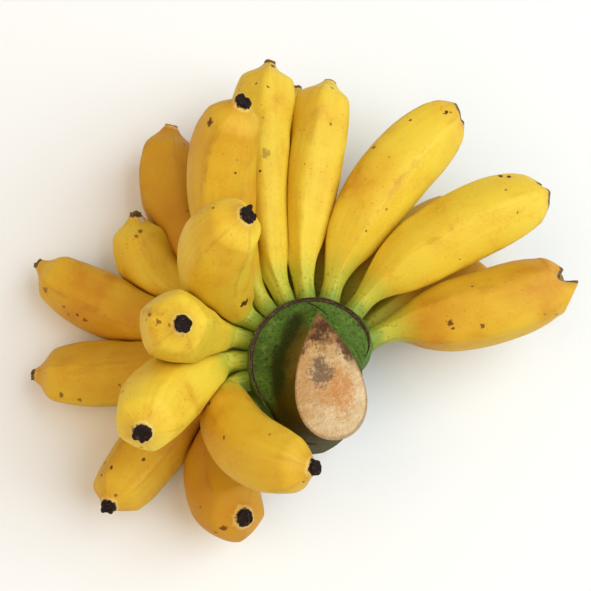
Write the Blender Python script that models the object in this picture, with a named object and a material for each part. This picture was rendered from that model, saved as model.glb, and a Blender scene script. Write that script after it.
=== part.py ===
"""A hand of short, plump bananas, cut from its stalk and lying on its back row.

The crown is one piece with the cut stub of stalk. Each finger is one piece too: a green neck, the
fruit and its dried flower end. The fingers grow in two rows round the crown and press each other flat
where they meet.
"""

import math
from collections import namedtuple

import bmesh
import bpy
import numpy as np

# ---------------------------------------------------------------- driving dimensions (metres)
GAP = 0.0004  # left between pieces that touch
PRESS_GAP = 0.0006  # left between two fingers that press each other flat
LEAST_KEPT = 0.05  # least share of its reach that a pressed skin keeps

CROWN_TOP = 0.052  # height of the scar ring over the surface that the hand lies on
CROWN_BOTTOM = 0.014
CROWN_RADIUS = 0.0285
RIM_ROUNDING = 0.0008  # how far in the scar ring's edge is drawn
ROW_DROP = {"front": 0.009, "back": 0.025}  # how far below the scar ring each row's necks leave

FINGER_SIDES = 15  # three to each of the five ridges
FINGER_RINGS = 18
EVEN_SHARE = 0.55  # 1 spaces the rings evenly, and less draws them together at both ends
RIDGES = 5
RIDGE_SHARE = 0.022  # ridge height as a share of the finger's radius
RIDGE_FADE = (0.85, 0.97)  # shares of the length between which the ridges die away
NECK_WIDTH = 0.0094
NECK_HEIGHT = 0.0128
NECK_END = 0.26  # place in the profile below where the neck has become fruit
SPINE_STEPS = 96

PEEL_YELLOW = (0.80, 0.52, 0.05)
CROWN_GREEN = (0.10, 0.22, 0.05)

# Share of the length from the crown, and radius there as a share of the fruit's greatest radius.
PROFILE = (
    (0.00, 0.33),
    (0.10, 0.34),
    (0.17, 0.44),
    (0.26, 0.66),
    (0.36, 0.86),
    (0.50, 0.97),
    (0.66, 1.00),
    (0.79, 0.95),
    (0.88, 0.83),
    (0.94, 0.65),
    (0.975, 0.37),
    (1.00, 0.23),
)

Finger = namedtuple("Finger", "row root start end length neck girth roll")
# root: degrees round the crown. start: which way the fruit points where the neck ends, and end: which
# way it points at the tip, each as a heading in the level plane and a rise above it, in degrees. A
# back finger has no rise of its own where it starts: it drops until its belly meets the surface.
FINGERS = {
    "finger_front_01": Finger("front", 24, (7, 3), (24, 0), 0.094, 0.024, 0.0345, 0),
    "finger_front_02": Finger("front", 52, (41, 6), (16, 0), 0.107, 0.026, 0.0335, 20),
    "finger_front_03": Finger("front", 76, (69, 6), (37, -2), 0.112, 0.028, 0.0325, 40),
    "finger_front_04": Finger("front", 96, (89, 6), (74, -2), 0.108, 0.030, 0.0295, 10),
    "finger_front_05": Finger("front", 113, (101, 10), (81, -6), 0.120, 0.030, 0.0310, 30),
    "finger_front_06": Finger("front", 129, (122, 14), (42, 52), 0.109, 0.024, 0.0305, 50),
    "finger_front_07": Finger("front", 144, (152, 50), (14, 46), 0.092, 0.017, 0.0315, 0),
    "finger_front_08": Finger("front", 160, (185, 37), (-22, 62), 0.083, 0.017, 0.0305, 25),
    "finger_front_09": Finger("front", 178, (209, 28), (270, 52), 0.082, 0.018, 0.0320, 45),
    "finger_front_10": Finger("front", 194, (267, 30), (356, 26), 0.085, 0.016, 0.0295, 15),
    "finger_back_01": Finger("back", 39, (25, 0), (18, 3), 0.075, 0.020, 0.0320, 0),
    "finger_back_02": Finger("back", 62, (43, 0), (34, 2), 0.088, 0.022, 0.0320, 20),
    "finger_back_03": Finger("back", 86, (101, 0), (91, 2), 0.119, 0.026, 0.0310, 40),
    "finger_back_04": Finger("back", 105, (106, 0), (94, 2), 0.106, 0.026, 0.0310, 10),
    "finger_back_05": Finger("back", 121, (161, 0), (77, 16), 0.122, 0.024, 0.0310, 30),
    "finger_back_06": Finger("back", 137, (186, 0), (90, 34), 0.095, 0.020, 0.0310, 50),
    "finger_back_07": Finger("back", 152, (178, 0), (142, 4), 0.116, 0.024, 0.0300, 0),
    "finger_back_08": Finger("back", 169, (194, 0), (176, 2), 0.104, 0.024, 0.0310, 25),
    "finger_back_09": Finger("back", 187, (209, 0), (248, 38), 0.094, 0.020, 0.0300, 45),
    "finger_back_10": Finger("back", 206, (230, 0), (345, 58), 0.076, 0.018, 0.0330, 15),
}


# ---------------------------------------------------------------- small mathematics
def smooth_step(x):
    """0 below 0, 1 above 1, and an S curve between."""
    x = np.clip(x, 0.0, 1.0)
    return x * x * (3.0 - 2.0 * x)


def smooth_curve(points, x):
    """The value at x of a smooth curve through the (place, value) points."""
    at, value = np.array(points, float).T
    slope = np.gradient(value, at)
    k = np.clip(np.searchsorted(at, x) - 1, 0, len(at) - 2)
    width = at[k + 1] - at[k]
    u = (x - at[k]) / width
    start = value[k] * (1 + 2 * u) * (1 - u) ** 2 + slope[k] * width * u * (1 - u) ** 2
    return start + value[k + 1] * u * u * (3 - 2 * u) - slope[k + 1] * width * u * u * (1 - u)


def unit(vectors):
    return vectors / np.linalg.norm(vectors, axis=-1, keepdims=True)


def direction(heading, rise):
    turn, climb = math.radians(heading), math.radians(rise)
    level = math.cos(climb)
    return np.array([level * math.cos(turn), level * math.sin(turn), math.sin(climb)])


def swing(first, last, share):
    """Directions that swing evenly from first to last, a share of the way round."""
    cosine = np.clip(np.sum(first * last, axis=-1, keepdims=True), -1.0, 1.0)
    angle = np.maximum(np.arccos(cosine), 1e-6)
    share = share[:, None]
    return unit(first * np.sin((1 - share) * angle) + last * np.sin(share * angle))


# ---------------------------------------------------------------- crown
# Plan radius of the crown round its middle: a round cushion where the fingers grow, and on the bare
# side the stalk, which runs out past it.
CROWN_OUTLINE = (
    (-10, 0.0200),
    (20, 0.0272),
    (40, 0.0283),
    (60, CROWN_RADIUS),
    (125, CROWN_RADIUS),
    (190, CROWN_RADIUS),
    (210, 0.0286),
    (230, 0.0300),
    (250, 0.0345),
    (270, 0.0375),
    (300, 0.0325),
    (325, 0.0245),
    (350, 0.0200),
    (380, 0.0270),
)
CROWN_SIDES = 48
# Height, and share of the outline there: the lower cut face, its rounded edge and the straight wall.
WALL_SHAPE = (
    (CROWN_BOTTOM, 0.80),
    (CROWN_BOTTOM + 0.004, 0.92),
    (CROWN_BOTTOM + 0.010, 1.0),
    (CROWN_TOP - 1.5 * RIM_ROUNDING, 1.0),
)
# How far in from the scar ring to the cut's edge, and how far up: a low cushion, then the steep stub.
STUB_SHAPE = ((0.15, 0.09), (0.32, 0.15), (0.48, 0.22), (0.62, 0.36), (0.80, 0.66), (1.0, 1.0))
CUT_LENGTH = 0.061
CUT_WIDTH = 0.030
CUT_HEADING = -83  # which way the blunt end of the cut face points
CUT_MIDDLE = (0.0060, -0.0096)
CUT_LOW = 0.005  # height of the cut over the scar ring at its pointed end
CUT_HIGH = 0.030  # and at its blunt end
TEARDROP_WIDEST = 4.0 / (3.0 * math.sqrt(3.0))  # the greatest value of sin(t) cos(t / 2)


def crown_outline(degrees):
    return smooth_curve(CROWN_OUTLINE, (degrees + 10) % 360 - 10)


def crown_base(height, share, inset=0.0):
    """A level ring of the crown, its outline scaled by share and drawn in by inset."""
    degrees = np.linspace(0.0, 360.0, CROWN_SIDES, endpoint=False)
    reach = crown_outline(degrees) * share - inset
    turn = np.radians(degrees)
    return np.stack([reach * np.cos(turn), reach * np.sin(turn), np.full(CROWN_SIDES, height)], 1)


def cut_outline():
    """The edge of the knife cut: a teardrop, pointed near the scar ring, in a sloping plane."""
    degrees = np.linspace(0.0, 360.0, CROWN_SIDES, endpoint=False)
    turn = np.radians((degrees - CUT_HEADING + 180.0) % 360.0 - 180.0)
    along = 0.5 * CUT_LENGTH * np.cos(turn)
    across = 0.5 * CUT_WIDTH / TEARDROP_WIDEST * np.sin(turn) * np.cos(0.5 * turn)
    way = math.radians(CUT_HEADING)
    x = CUT_MIDDLE[0] + along * math.cos(way) - across * math.sin(way)
    y = CUT_MIDDLE[1] + along * math.sin(way) + across * math.cos(way)
    rise = 0.5 + along / CUT_LENGTH
    return np.stack([x, y, CROWN_TOP + CUT_LOW + (CUT_HIGH - CUT_LOW) * rise], 1)


def crown_rings():
    """Rings from the lower cut face, up the wall, over the scar ring and up the stub."""
    cut = cut_outline()
    rim = crown_base(CROWN_TOP, 1.0, RIM_ROUNDING)
    rings = [crown_base(height, share) for height, share in WALL_SHAPE] + [rim]
    for inward, upward in STUB_SHAPE:
        ring = rim + (cut - rim) * inward
        ring[:, 2] = rim[:, 2] + (cut[:, 2] - rim[:, 2]) * upward
        rings.append(ring)
    return rings


# ---------------------------------------------------------------- fingers
def past_neck(share, finger):
    """0 along the straight first part of the neck, rising to 1 where it has become fruit."""
    return smooth_step(1.2 * share * finger.length / finger.neck - 0.2)


def finger_spine(finger, rise):
    """Points and directions along the middle of a finger, from the crown to the tip."""
    share = np.linspace(0.0, 1.0, SPINE_STEPS + 1)
    outward = direction(finger.root, 0.0)
    neck = finger.neck / finger.length
    along_fruit = np.clip((share - 0.5 * neck) / (1 - 0.5 * neck), 0, 1)
    fruit = swing(direction(finger.start[0], rise), direction(*finger.end), along_fruit)
    way = swing(outward, fruit, past_neck(share, finger))
    reach = crown_outline(finger.root) + GAP
    start = outward * reach + (0.0, 0.0, CROWN_TOP - ROW_DROP[finger.row])
    step = finger.length / SPINE_STEPS
    return start + np.concatenate([np.zeros((1, 3)), np.cumsum(way[:-1] * step, 0)]), way


def sections(finger, rise):
    """Ring centres, side and up directions, and radii, for every point of the spine."""
    centre, way = finger_spine(finger, rise)
    side = np.empty_like(way)
    root = math.radians(finger.root)
    carried = np.array([-math.sin(root), math.cos(root), 0.0])
    for i, ahead in enumerate(way):
        carried = unit(carried - ahead * carried.dot(ahead))
        side[i] = carried
    share = np.linspace(0.0, 1.0, SPINE_STEPS + 1)
    place = np.interp(share, (0.0, finger.neck / finger.length, 1.0), (0.0, NECK_END, 1.0))
    radius = 0.5 * finger.girth * smooth_curve(PROFILE, place)
    return centre, side, np.cross(way, side), radius


def belly_height(finger, rise):
    centre, side, up, radius = sections(finger, rise)
    return np.min(centre[:, 2] - radius * np.hypot(side[:, 2], up[:, 2]))


def settled_rise(finger):
    """The rise where the fruit starts: a back finger's belly just meets the surface."""
    if finger.row == "front":
        return finger.start[1]
    low, high = -60.0, 40.0
    for _ in range(40):
        middle = 0.5 * (low + high)
        if belly_height(finger, middle) < 0.0:
            low = middle
        else:
            high = middle
    return high


def ring_places():
    """Where the rings are, as indices of the spine, closer together at the neck and at the tip."""
    even = np.linspace(0.0, 1.0, FINGER_RINGS)
    crowded = 0.5 - 0.5 * np.cos(math.pi * even)
    share = EVEN_SHARE * even + (1.0 - EVEN_SHARE) * crowded
    return np.round(share * SPINE_STEPS).astype(int)


def finger_rings(finger, rise):
    """The finger's surface as rings of points, with the centre of each ring."""
    centre, side, up, radius = sections(finger, rise)
    chosen = ring_places()
    share = chosen / SPINE_STEPS
    angle = np.linspace(0.0, 2 * math.pi, FINGER_SIDES, endpoint=False)
    neck = 1.0 - past_neck(share, finger)
    tip = smooth_step((share - RIDGE_FADE[0]) / (RIDGE_FADE[1] - RIDGE_FADE[0]))
    ridge = RIDGE_SHARE * np.cos(RIDGES * (angle - math.radians(finger.roll)))
    reach = radius[chosen, None] * (1.0 + ridge * (1.0 - tip[:, None]))
    neck_radius = 0.5 * finger.girth * PROFILE[0][1]
    wide = 1.0 + neck[:, None] * (0.5 * NECK_WIDTH / neck_radius - 1.0)
    high = 1.0 + neck[:, None] * (0.5 * NECK_HEIGHT / neck_radius - 1.0)
    middle = centre[chosen][:, None, :]
    across = (reach * wide * np.cos(angle))[:, :, None] * side[chosen][:, None, :]
    upward = (reach * high * np.sin(angle))[:, :, None] * up[chosen][:, None, :]
    return middle + across + upward, middle


def depth_in(point, spine, radius):
    """How far each point is outside a finger, or inside it where negative."""
    away = np.linalg.norm(point[..., None, :] - spine, axis=-1) - radius
    return away.min(axis=-1)


def press_flat(rings, middles, spines, radii):
    """Draws each finger's skin in to the surface halfway between it and a finger that it meets."""

    def room(i, j, share):
        point = middles[i] + (rings[i] - middles[i]) * share[:, :, None]
        return depth_in(point, spines[j], radii[j]) - depth_in(point, spines[i], radii[i])

    pressed = []
    for i, (skin, middle) in enumerate(zip(rings, middles)):
        whole = np.ones(skin.shape[:2])
        keep = whole
        for j in range(len(rings)):
            if i == j:
                continue
            low, high = LEAST_KEPT * whole, whole
            for _ in range(18):
                trial = 0.5 * (low + high)
                free = room(i, j, trial) > PRESS_GAP
                low, high = np.where(free, trial, low), np.where(free, high, trial)
            keep = np.minimum(keep, np.where(room(i, j, whole) > PRESS_GAP, whole, low))
        pressed.append(middle + (skin - middle) * keep[:, :, None])
    return pressed


# ---------------------------------------------------------------- meshes and materials
def loft(name, rings, material):
    """One closed solid through the rings, bridged ring to ring and capped at both ends."""
    bm = bmesh.new()
    loops = []
    for ring in rings:
        corners = [bm.verts.new(point) for point in ring]
        loops.append([bm.edges.new((a, b)) for a, b in zip(corners, corners[1:] + corners[:1])])
    for lower, upper in zip(loops, loops[1:]):
        bmesh.ops.bridge_loops(bm, edges=lower + upper)
    for end in (loops[0], loops[-1]):
        bmesh.ops.contextual_create(bm, geom=end)
    bmesh.ops.triangulate(bm, faces=bm.faces)
    bmesh.ops.recalc_face_normals(bm, faces=bm.faces)
    mesh = bpy.data.meshes.new(name)
    bm.to_mesh(mesh)
    bm.free()
    mesh.materials.append(material)
    mesh.shade_smooth()
    mesh.set_sharp_from_angle(angle=math.radians(40))
    thing = bpy.data.objects.new(name, mesh)
    bpy.context.scene.collection.objects.link(thing)
    return thing


def make_material(name, colour, roughness):
    material = bpy.data.materials.new(name)
    material.use_nodes = True
    surface = material.node_tree.nodes["Principled BSDF"]
    surface.inputs["Base Color"].default_value = (*colour, 1.0)
    surface.inputs["Roughness"].default_value = roughness
    surface.inputs["Metallic"].default_value = 0.0
    material.diffuse_color = (*colour, 1.0)
    return material


def build_fingers():
    rings, middles, spines, radii = [], [], [], []
    for finger in FINGERS.values():
        rise = settled_rise(finger)
        skin, middle = finger_rings(finger, rise)
        spine, _, _, radius = sections(finger, rise)
        rings.append(skin)
        middles.append(middle)
        spines.append(spine)
        radii.append(radius)
    for name, skin in zip(FINGERS, press_flat(rings, middles, spines, radii)):
        loft(name, skin, make_material(name + "_skin", PEEL_YELLOW, 0.45))


def stand_on_origin(things):
    """Moves everything so that the middle of its footprint is the origin and its belly is at zero."""
    corners = np.array([v.co for thing in things for v in thing.data.vertices])
    low, high = corners.min(0), corners.max(0)
    for thing in things:
        thing.location = (-0.5 * (low[0] + high[0]), -0.5 * (low[1] + high[1]), -low[2])


def main():
    for thing in list(bpy.data.objects):
        bpy.data.objects.remove(thing)
    loft("crown", crown_rings(), make_material("crown_skin", CROWN_GREEN, 0.6))
    build_fingers()
    stand_on_origin(list(bpy.data.objects))


main()
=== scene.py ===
# %% [markdown]
# # A hand of bananas
# A hand is one tier of fruit as it is cut from the stalk: a green crown with a stub of stalk, and the
# fingers that grew from it in rows. The frame below is the packed solid model. Every piece in this
# lesson is worked out from the frame's own meshes, so it lies exactly where its solid lies.

# %% Load the frame
import math
from collections import namedtuple

import bpy
import numpy as np
from mathutils import Matrix, Vector, noise


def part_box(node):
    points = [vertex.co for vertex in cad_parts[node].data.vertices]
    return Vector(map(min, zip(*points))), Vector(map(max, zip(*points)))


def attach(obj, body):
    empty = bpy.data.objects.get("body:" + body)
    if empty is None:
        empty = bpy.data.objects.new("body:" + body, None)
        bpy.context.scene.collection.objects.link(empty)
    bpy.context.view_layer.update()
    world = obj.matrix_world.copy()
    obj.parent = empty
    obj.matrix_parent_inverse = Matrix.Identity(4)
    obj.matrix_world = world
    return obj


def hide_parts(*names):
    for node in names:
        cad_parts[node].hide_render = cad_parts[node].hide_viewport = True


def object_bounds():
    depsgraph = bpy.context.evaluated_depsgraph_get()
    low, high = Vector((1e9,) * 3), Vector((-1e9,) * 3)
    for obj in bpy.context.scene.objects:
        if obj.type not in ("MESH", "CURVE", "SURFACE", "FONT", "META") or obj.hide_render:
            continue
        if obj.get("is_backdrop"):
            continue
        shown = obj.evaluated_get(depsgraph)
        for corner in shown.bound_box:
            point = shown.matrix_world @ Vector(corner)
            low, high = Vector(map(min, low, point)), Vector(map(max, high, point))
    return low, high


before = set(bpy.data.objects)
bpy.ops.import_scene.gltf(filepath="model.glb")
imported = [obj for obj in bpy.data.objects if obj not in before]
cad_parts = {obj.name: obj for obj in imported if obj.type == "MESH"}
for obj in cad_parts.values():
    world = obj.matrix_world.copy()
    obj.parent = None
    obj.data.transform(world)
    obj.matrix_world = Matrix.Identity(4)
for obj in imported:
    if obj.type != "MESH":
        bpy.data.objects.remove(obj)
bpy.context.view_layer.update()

fingers = sorted(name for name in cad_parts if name.startswith("finger"))

# %% [markdown]
# ## Where to look from
# The hand lies on a table and is seen from well above, a little from its bare side. A camera can be
# aimed with a constraint, but a matrix made from three directions leaves no doubt about which way is
# up. The middle of the crown's scar ring is the point that everything is measured from.

# %% Camera
SCAR_RADIUS = 0.0285
STUB_HEIGHT = 0.030
CAMERA_RISE = math.radians(75)
CAMERA_DISTANCE = 0.560
AIM_RIGHT, AIM_UP = -0.0077, 0.0284  # metres from the middle of the scar ring
SENSOR_WIDTH, LENS = 36, 77.5  # millimetres

low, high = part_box("crown")
crown_middle = Vector((low.x + SCAR_RADIUS, high.y - SCAR_RADIUS, high.z - STUB_HEIGHT))
right = Vector((1, 0, 0))
up = Vector((0, math.sin(CAMERA_RISE), math.cos(CAMERA_RISE)))
back = right.cross(up)
aim = crown_middle + AIM_RIGHT * right + AIM_UP * up

camera = bpy.data.objects.new("camera", bpy.data.cameras.new("camera"))
turned = Matrix((right, up, back)).transposed().to_4x4()
camera.matrix_world = Matrix.Translation(aim + CAMERA_DISTANCE * back) @ turned
camera.data.sensor_width = SENSOR_WIDTH
camera.data.lens = LENS
bpy.context.scene.collection.objects.link(camera)
bpy.context.scene.camera = camera
print("camera at", camera.matrix_world.translation)

# %% [markdown]
# ## Reading a finger back as rings
# Each solid was lofted through rings of points, but the frame holds only triangles. The flat end where
# the neck meets the crown is easy to find, because a whole ring lies in one plane. From there the rings
# come one after another: the neighbours of a ring that haven't been met yet are the next ring.

# %% Corners and flat ends of a solid
LEVEL = 2e-5  # metres within which points lie in one plane
LEAST_FACE = 1e-8  # square metres; smaller faces have no sure direction


def corners_of(node):
    """The separate corner points of a CAD node, and its triangles."""
    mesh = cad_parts[node].data
    mesh.calc_loop_triangles()
    places = np.array([vertex.co for vertex in mesh.vertices])
    points, index = np.unique(np.round(places, 7), axis=0, return_inverse=True)
    return points, index.ravel()[np.array([t.vertices for t in mesh.loop_triangles])]


def flat_ends(points, near, triangles, sides):
    """The sets of joined points that lie in one plane and are as many as a ring has."""
    ends = set()
    for a, b, c in triangles:
        normal = np.cross(points[b] - points[a], points[c] - points[a])
        size = np.linalg.norm(normal)
        if size > LEAST_FACE:
            away = np.abs((points - points[a]) @ (normal / size))
            level = set(np.flatnonzero(away < LEVEL).tolist())
            inside = frozenset(i for i in level if len(near[i] & level) > 2)
            if len(inside) == sides:
                ends.add(inside)
    return list(ends)


print(len(corners_of(fingers[0])[0]), "corner points in the first finger")

# %% [markdown]
# ## Putting a ring's points in order
# The points of a ring come in no order. Within a ring the edges give the order, except at a flat end,
# whose inner edges would mislead, so there the angle round the middle gives it. Each ring is then
# turned until its points lie beside those of the ring before.

# %% Rings of a solid
FINGER_CORNERS, CROWN_CORNERS = 15, 48  # points in a ring of the solids


def round_the_middle(points, ring):
    """The points of a flat ring, in order of their angle round its middle."""
    flat = points[ring] - points[ring].mean(0)
    axes = np.linalg.svd(flat)[2]
    angle = np.arctan2(flat @ axes[1], flat @ axes[0])
    return [ring[i] for i in np.argsort(angle)]


def walk_round(near, ring):
    """The points of a ring, in the order in which its edges join them."""
    walked = [ring[0]]
    inside = set(ring)
    while len(walked) < len(ring):
        onward = [i for i in near[walked[-1]] if i in inside and i not in walked]
        walked.append(onward[0])
    return walked


def line_up(ring, previous):
    """The ring's points, started and turned so that each lies beside the last ring's own."""
    tries = [np.roll(way, k, 0) for way in (ring, ring[::-1]) for k in range(len(ring))]
    return min(tries, key=lambda points: ((points - previous) ** 2).sum())


def rings_of(node, sides, first_end, start):
    """All rings, beginning with the flat end that scores least and its point furthest along start."""
    points, triangles = corners_of(node)
    near = [set() for _ in points]
    for corners in triangles.tolist():
        for i in corners:
            near[i].update(corners)
    ends = flat_ends(points, near, triangles, sides)
    end = min(ends, key=lambda e: first_end(points[list(e)].mean(0)))
    layers = [sorted(end)]
    met = set(end)
    while len(met) < len(points):
        layers.append(sorted(set().union(*(near[i] for i in layers[-1])) - met))
        met.update(layers[-1])
    rings = []
    for k, layer in enumerate(layers):
        capped = k in (0, len(layers) - 1)
        order = round_the_middle(points, layer) if capped else walk_round(near, layer)
        rings.append(points[order])
    begin = np.argmax(rings[0] @ np.array(start))
    rings[0] = np.roll(rings[0], -begin, 0)
    for k in range(1, len(rings)):
        rings[k] = line_up(rings[k], rings[k - 1])
    return np.array(rings)


def from_crown(point):
    return math.hypot(point[0] - crown_middle.x, point[1] - crown_middle.y)


finger_rings = {name: rings_of(name, FINGER_CORNERS, from_crown, (0, 0, 1)) for name in fingers}
crown_rings = rings_of("crown", CROWN_CORNERS, lambda point: point[2], (1, 0, 0))
print(finger_rings[fingers[0]].shape, "rings of a finger,", crown_rings.shape, "of the crown")

# %% [markdown]
# ## A finer surface through the same rings
# Fifteen sides are enough to weigh a banana but not to look at one. A subdivision modifier would shrink
# the shape a little, so the finer surface is a smooth curve through every ring, first along the finger
# and then round it. The result is a grid of points, which is easy to push about afterwards.

# %% Smooth curves through points
def through(values, at, wanted):
    """The values at the wanted places of a smooth curve through the values at the given places."""
    slope = np.gradient(values, at, axis=0)
    k = np.clip(np.searchsorted(at, wanted) - 1, 0, len(at) - 2)
    width = (at[k + 1] - at[k]).reshape(-1, *[1] * (values.ndim - 1))
    u = (wanted - at[k]).reshape(width.shape) / width
    start = values[k] * (1 + 2 * u) * (1 - u) ** 2 + slope[k] * width * u * (1 - u) ** 2
    return start + values[k + 1] * u * u * (3 - 2 * u) - slope[k + 1] * width * u * u * (1 - u)


def rounder(rings, sides):
    """The same rings with more points on each."""
    count = rings.shape[1]
    wrapped = np.concatenate([rings[:, -3:], rings, rings[:, :4]], 1).swapaxes(0, 1)
    at = np.arange(-3, count + 4, dtype=float)
    wanted = np.linspace(0, count, sides, endpoint=False)
    return through(wrapped, at, wanted).swapaxes(0, 1)


def smooth_step(low, high, x):
    """0 below low, 1 above high, and an S curve between."""
    u = np.clip((x - low) / (high - low), 0.0, 1.0)
    return u * u * (3 - 2 * u)


def hump(x, middle, reach):
    """1 in the middle, and down to nearly nothing at twice the reach."""
    return np.exp(-(((x - middle) / reach) ** 2))


def unit(vectors):
    return vectors / np.maximum(np.linalg.norm(vectors, axis=-1, keepdims=True), 1e-12)


def outward(grid):
    """The direction that each point of a grid faces, away from the middle of its ring."""
    along = np.gradient(grid, axis=0)
    wrapped = np.concatenate([grid[:, -1:], grid, grid[:, :1]], 1)
    across = wrapped[:, 2:] - wrapped[:, :-2]
    facing = unit(np.cross(along, across))
    away = grid - grid.mean(1, keepdims=True)
    return facing * np.sign((facing * away).sum(-1).mean())


def lumps(grid, size, seed):
    """Smooth random values, about -1 to 1, that change over a distance of size."""
    flat = grid.reshape(-1, 3) / size + seed
    return np.array([noise.noise(Vector(point)) for point in flat]).reshape(grid.shape[:-1])


print("a ring of", FINGER_CORNERS, "points can get", rounder(finger_rings[fingers[0]], 72).shape[1])

# %% [markdown]
# ## Turning a grid into a piece
# A grid of points becomes one closed mesh: a quad between each four neighbours and a fan of triangles
# over each end. Numbers that the finishes need, such as how far a point is from the crown, are kept on
# the points as attributes, so that the colours follow the fruit however it bends.

# %% Closed mesh from a grid
def closed_mesh(name, grid, attributes):
    """One closed mesh over a grid of rings, with a middle point at each end."""
    rows, sides, _ = grid.shape
    points = np.concatenate([grid.reshape(-1, 3), grid[0].mean(0)[None], grid[-1].mean(0)[None]])
    corner = np.arange(rows * sides).reshape(rows, sides)
    onward = np.roll(corner, -1, 1)
    quads = np.stack([corner[:-1], onward[:-1], onward[1:], corner[1:]], -1).reshape(-1, 4)
    first, last = rows * sides, rows * sides + 1
    faces = quads.tolist()
    faces += [(first, b, a) for a, b in zip(corner[0].tolist(), onward[0].tolist())]
    faces += [(last, a, b) for a, b in zip(corner[-1].tolist(), onward[-1].tolist())]
    mesh = bpy.data.meshes.new(name)
    mesh.from_pydata(points.tolist(), [], faces)
    for label, values in attributes.items():
        ends = [values[0].mean(0), values[-1].mean(0)]
        flat = np.concatenate([values.reshape(rows * sides, -1), np.reshape(ends, (2, -1))])
        kind = "FLOAT_VECTOR" if flat.shape[1] == 3 else "FLOAT"
        layer = mesh.attributes.new(label, kind, "POINT")
        field = "vector" if flat.shape[1] == 3 else "value"
        layer.data.foreach_set(field, flat.astype(np.float32).ravel())
    a, b, c = (points[quads[:, k]] - points.mean(0) for k in range(3))
    if (a * np.cross(b, c)).sum() < 0:
        mesh.flip_normals()
    mesh.shade_smooth()
    piece = bpy.data.objects.new(name, mesh)
    bpy.context.scene.collection.objects.link(piece)
    return piece


print("a grid of 10 rows and 8 sides makes", 9 * 8 + 2 * 8, "faces")

# %% [markdown]
# ## The peel's ridges
# A banana isn't round: five ridges run from neck to tip, with flatter faces between them, plainest at
# the shoulder and towards the tip. They are measured off the solid's own rings, so they stay where the
# solid has them. The faces between them are slightly lumpy.

# %% Ridges of a finger
AROUND = 72
ANGLE = np.linspace(0, 2 * np.pi, AROUND, endpoint=False)
NECK_LENGTH = 0.024
RIDGE, SHOULDER_RIDGE, TIP_RIDGE = 0.0006, 0.0005, 0.0006  # metres high, the last two on top of the first
BROAD_LUMP, SMALL_LUMP = 0.00035, 0.00008


def ridge_turn(rings):
    """The angle of the first of the five ridges, measured on the solid's own rings."""
    radius = np.linalg.norm(rings - rings.mean(1, keepdims=True), axis=-1)[6:13]
    angle = np.linspace(0, 2 * np.pi, rings.shape[1], endpoint=False)
    wave = ((radius / radius.mean(1, keepdims=True) - 1) * np.exp(-5j * angle)).sum()
    return -np.angle(wave) / 5


def ridged(grid, along, near_tip, crest, ridges, seed):
    """The grid with its ridges raised where crest is 1, and with lumps."""
    shoulder = hump(along, 1.25 * NECK_LENGTH, 0.014)
    towards_tip = hump(near_tip, 0.018, 0.015)
    height = ridges * (RIDGE + SHOULDER_RIDGE * shoulder + TIP_RIDGE * towards_tip)
    height = height * smooth_step(0.001, 0.009, near_tip) * smooth_step(0.004, 0.016, along)
    wander = 1 + 0.6 * lumps(grid, 0.025, seed + 40)
    swell = BROAD_LUMP * lumps(grid, 0.022, seed) + SMALL_LUMP * lumps(grid, 0.006, seed + 20)
    body = smooth_step(0.010, 0.026, along)
    return grid + outward(grid) * (height * (crest - 0.25) * wander + swell * body)[:, :, None]


turns = [math.degrees(ridge_turn(finger_rings[name])) for name in fingers]
print("first ridges between", round(min(turns)), "and", round(max(turns)), "degrees round")

# %% [markdown]
# ## Both ends of a finger
# The neck widens where it grows out of the crown, so it starts a little inside it. At the other end is
# what dried up of the flower: a short, hard, ragged black stump with a sunken middle. On some fingers
# it has broken off and has torn the tip. The same rows of points make either, because a stump that
# stands out by less than nothing is a hollow.

# %% Ends of a finger
ROOT_DEPTH, ROOT_FLARE, FLARE_REACH = 0.0022, 0.10, 0.0025
STUMP_RAGGED, STUMP_LOBES = 0.30, 0.06
STUMP = (  # metres past the tip, and width as a share of the tip's
    (0.0002, 1.02),
    (0.0007, 1.06),
    (0.0012, 1.03),
    (0.0015, 0.92),
    (0.0011, 0.74),
    (0.0005, 0.52),
    (0.0004, 0.26),
)
STUMP_EDGE = 0.6  # rows wider than this are ragged


def scaled(grid, amount):
    """The grid with each ring made larger or smaller about its own middle."""
    middle = grid.mean(1, keepdims=True)
    return middle + (grid - middle) * amount


def torn(grid, near_tip, ahead, tears):
    """The grid with its tip longer or shorter at each tear: degrees round, metres, degrees wide."""
    for degrees, reach, spread in tears:
        away = (ANGLE - math.radians(degrees) + np.pi) % (2 * np.pi) - np.pi
        push = reach * hump(away, 0, math.radians(spread)) * smooth_step(0.014, 0.0, near_tip)
        grid = grid + ahead * push[:, :, None]
    return grid


def stump(rim, ahead, stand, seed):
    """The rows of the dried flower end, from the rim of the tip inwards."""
    heart = rim.mean(0)
    ragged = 1 + STUMP_RAGGED * lumps(rim, 0.0020, seed + 60) + STUMP_LOBES * np.cos(4 * ANGLE + seed)
    rows = []
    for forward, wide in STUMP:
        uneven = ragged[:, None] if wide > STUMP_EDGE else 1.0
        outline = heart + (rim - heart) * (wide * (1 + min(abs(stand), 1) * (uneven - 1)))
        rows.append(outline + ahead * (forward * stand * (2 * ragged[:, None] - 1)))
    return np.array(rows)


print(len(STUMP), "rows in a flower end,", round(STUMP[3][0] * 1000, 1), "mm long")

# %% [markdown]
# ## The whole finger
# The curve through the rings is read at many places along the finger, closer together near the tip,
# where the shape changes fastest. Ridges, ends and tears are then added to that grid, and each point
# keeps how far along it lies.

# %% Finger surface
BODY_ROWS, TIP_ROWS, TIP_FROM = 96, 30, 0.88
GRAIN_ROUND, GRAIN_ALONG = 0.014, 0.09  # how far the streaks' pattern moves round and along the finger


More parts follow.
